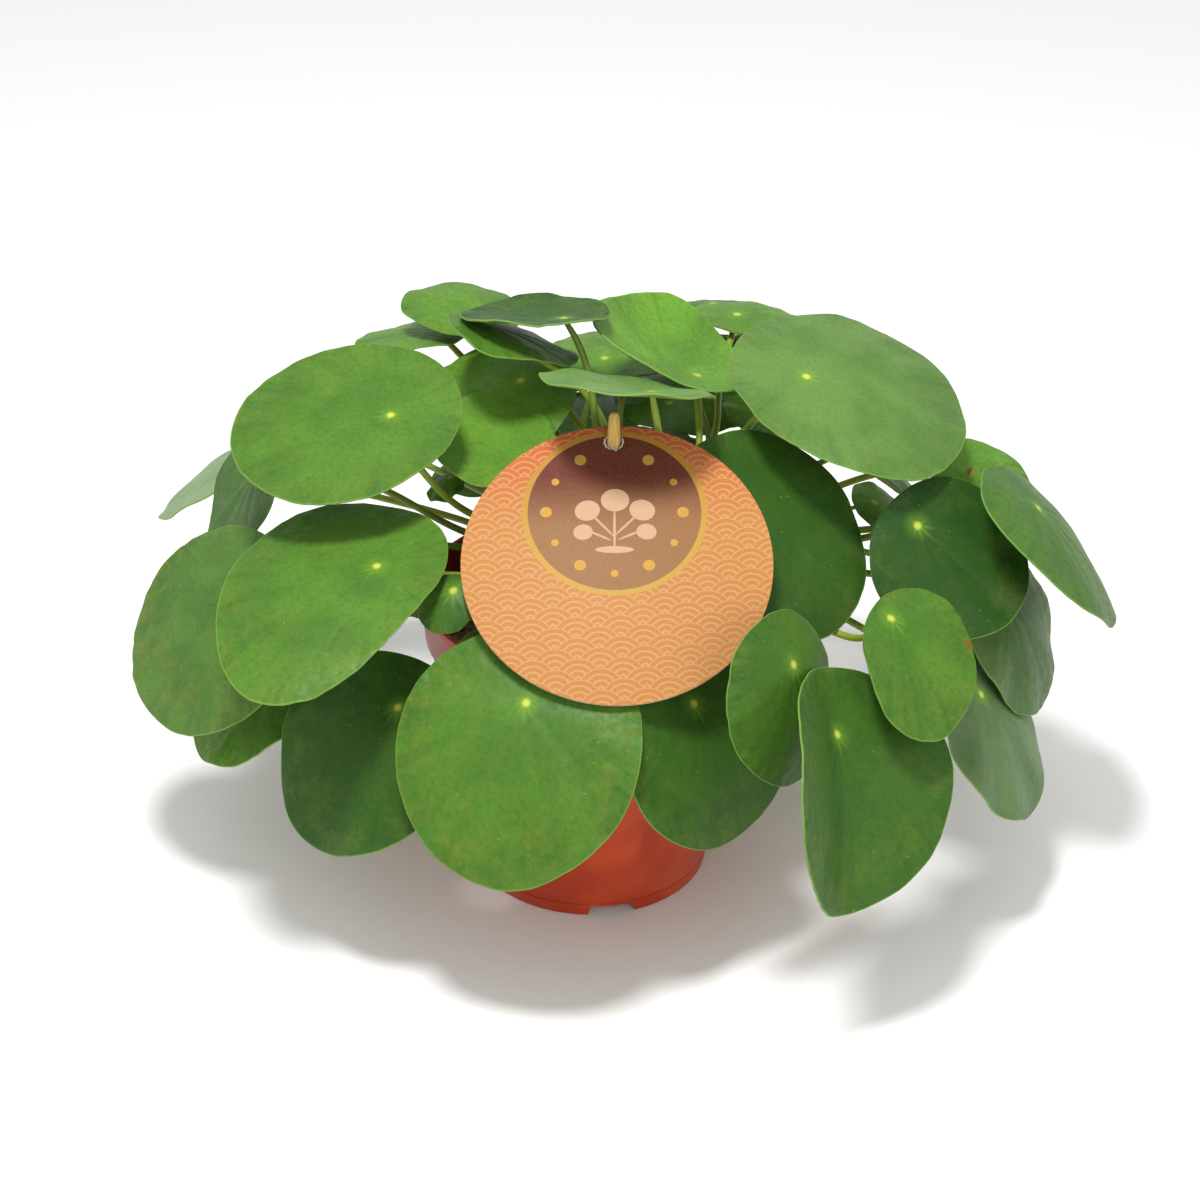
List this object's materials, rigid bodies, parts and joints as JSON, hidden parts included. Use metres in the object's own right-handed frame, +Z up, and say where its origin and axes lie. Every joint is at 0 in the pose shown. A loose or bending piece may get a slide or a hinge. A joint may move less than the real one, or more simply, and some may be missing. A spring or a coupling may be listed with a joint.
{
  "type": "potted plant",
  "caption": "Round-leaved houseplant on long stalks from a short trunk, in a thin plastic nursery pot of peat, with a round card on a wooden stick.",
  "frame": {"origin": "middle of the pot's underside, on the surface that the pot stands on", "axes": "+Z up out of the pot, +X to the plant's right as seen from the front, where it spreads furthest, +Y to the back"},
  "size_m": [0.3539, 0.294, 0.2007],
  "materials": {
    "pot_plastic": "thin terracotta-coloured plastic with a soft sheen",
    "peat": "crumbly dark peat, fully rough",
    "trunk_bark": "scarred dry bark",
    "stick_wood": "bare turned wood",
    "printed_card": "smooth printed card with a soft sheen",
    "leaf_green": "waxy leaf with a soft sheen"
  },
  "bodies": {
    "root": {"pot": "pot_plastic", "soil": "peat", "trunk": "trunk_bark", "stick": "stick_wood", "tag": "printed_card", "leaf_01": "leaf_green", "leaf_02": "leaf_green", "leaf_03": "leaf_green", "leaf_04": "leaf_green", "leaf_05": "leaf_green", "leaf_06": "leaf_green", "leaf_07": "leaf_green", "leaf_08": "leaf_green", "leaf_09": "leaf_green", "leaf_10": "leaf_green", "leaf_11": "leaf_green", "leaf_12": "leaf_green", "leaf_13": "leaf_green", "leaf_14": "leaf_green", "leaf_15": "leaf_green", "leaf_16": "leaf_green", "leaf_17": "leaf_green", "leaf_18": "leaf_green", "leaf_19": "leaf_green", "leaf_20": "leaf_green", "leaf_21": "leaf_green", "leaf_22": "leaf_green", "leaf_23": "leaf_green", "leaf_24": "leaf_green", "leaf_25": "leaf_green", "leaf_26": "leaf_green", "leaf_27": "leaf_green", "leaf_28": "leaf_green", "leaf_29": "leaf_green", "leaf_30": "leaf_green", "leaf_31": "leaf_green", "leaf_32": "leaf_green", "leaf_33": "leaf_green", "leaf_34": "leaf_green", "leaf_35": "leaf_green", "leaf_36": "leaf_green", "leaf_37": "leaf_green", "leaf_38": "leaf_green", "leaf_39": "leaf_green", "leaf_40": "leaf_green", "leaf_41": "leaf_green", "leaf_42": "leaf_green", "leaf_43": "leaf_green", "leaf_44": "leaf_green", "leaf_45": "leaf_green", "leaf_46": "leaf_green", "leaf_47": "leaf_green", "leaf_48": "leaf_green", "leaf_49": "leaf_green"}
  },
  "joints": []
}
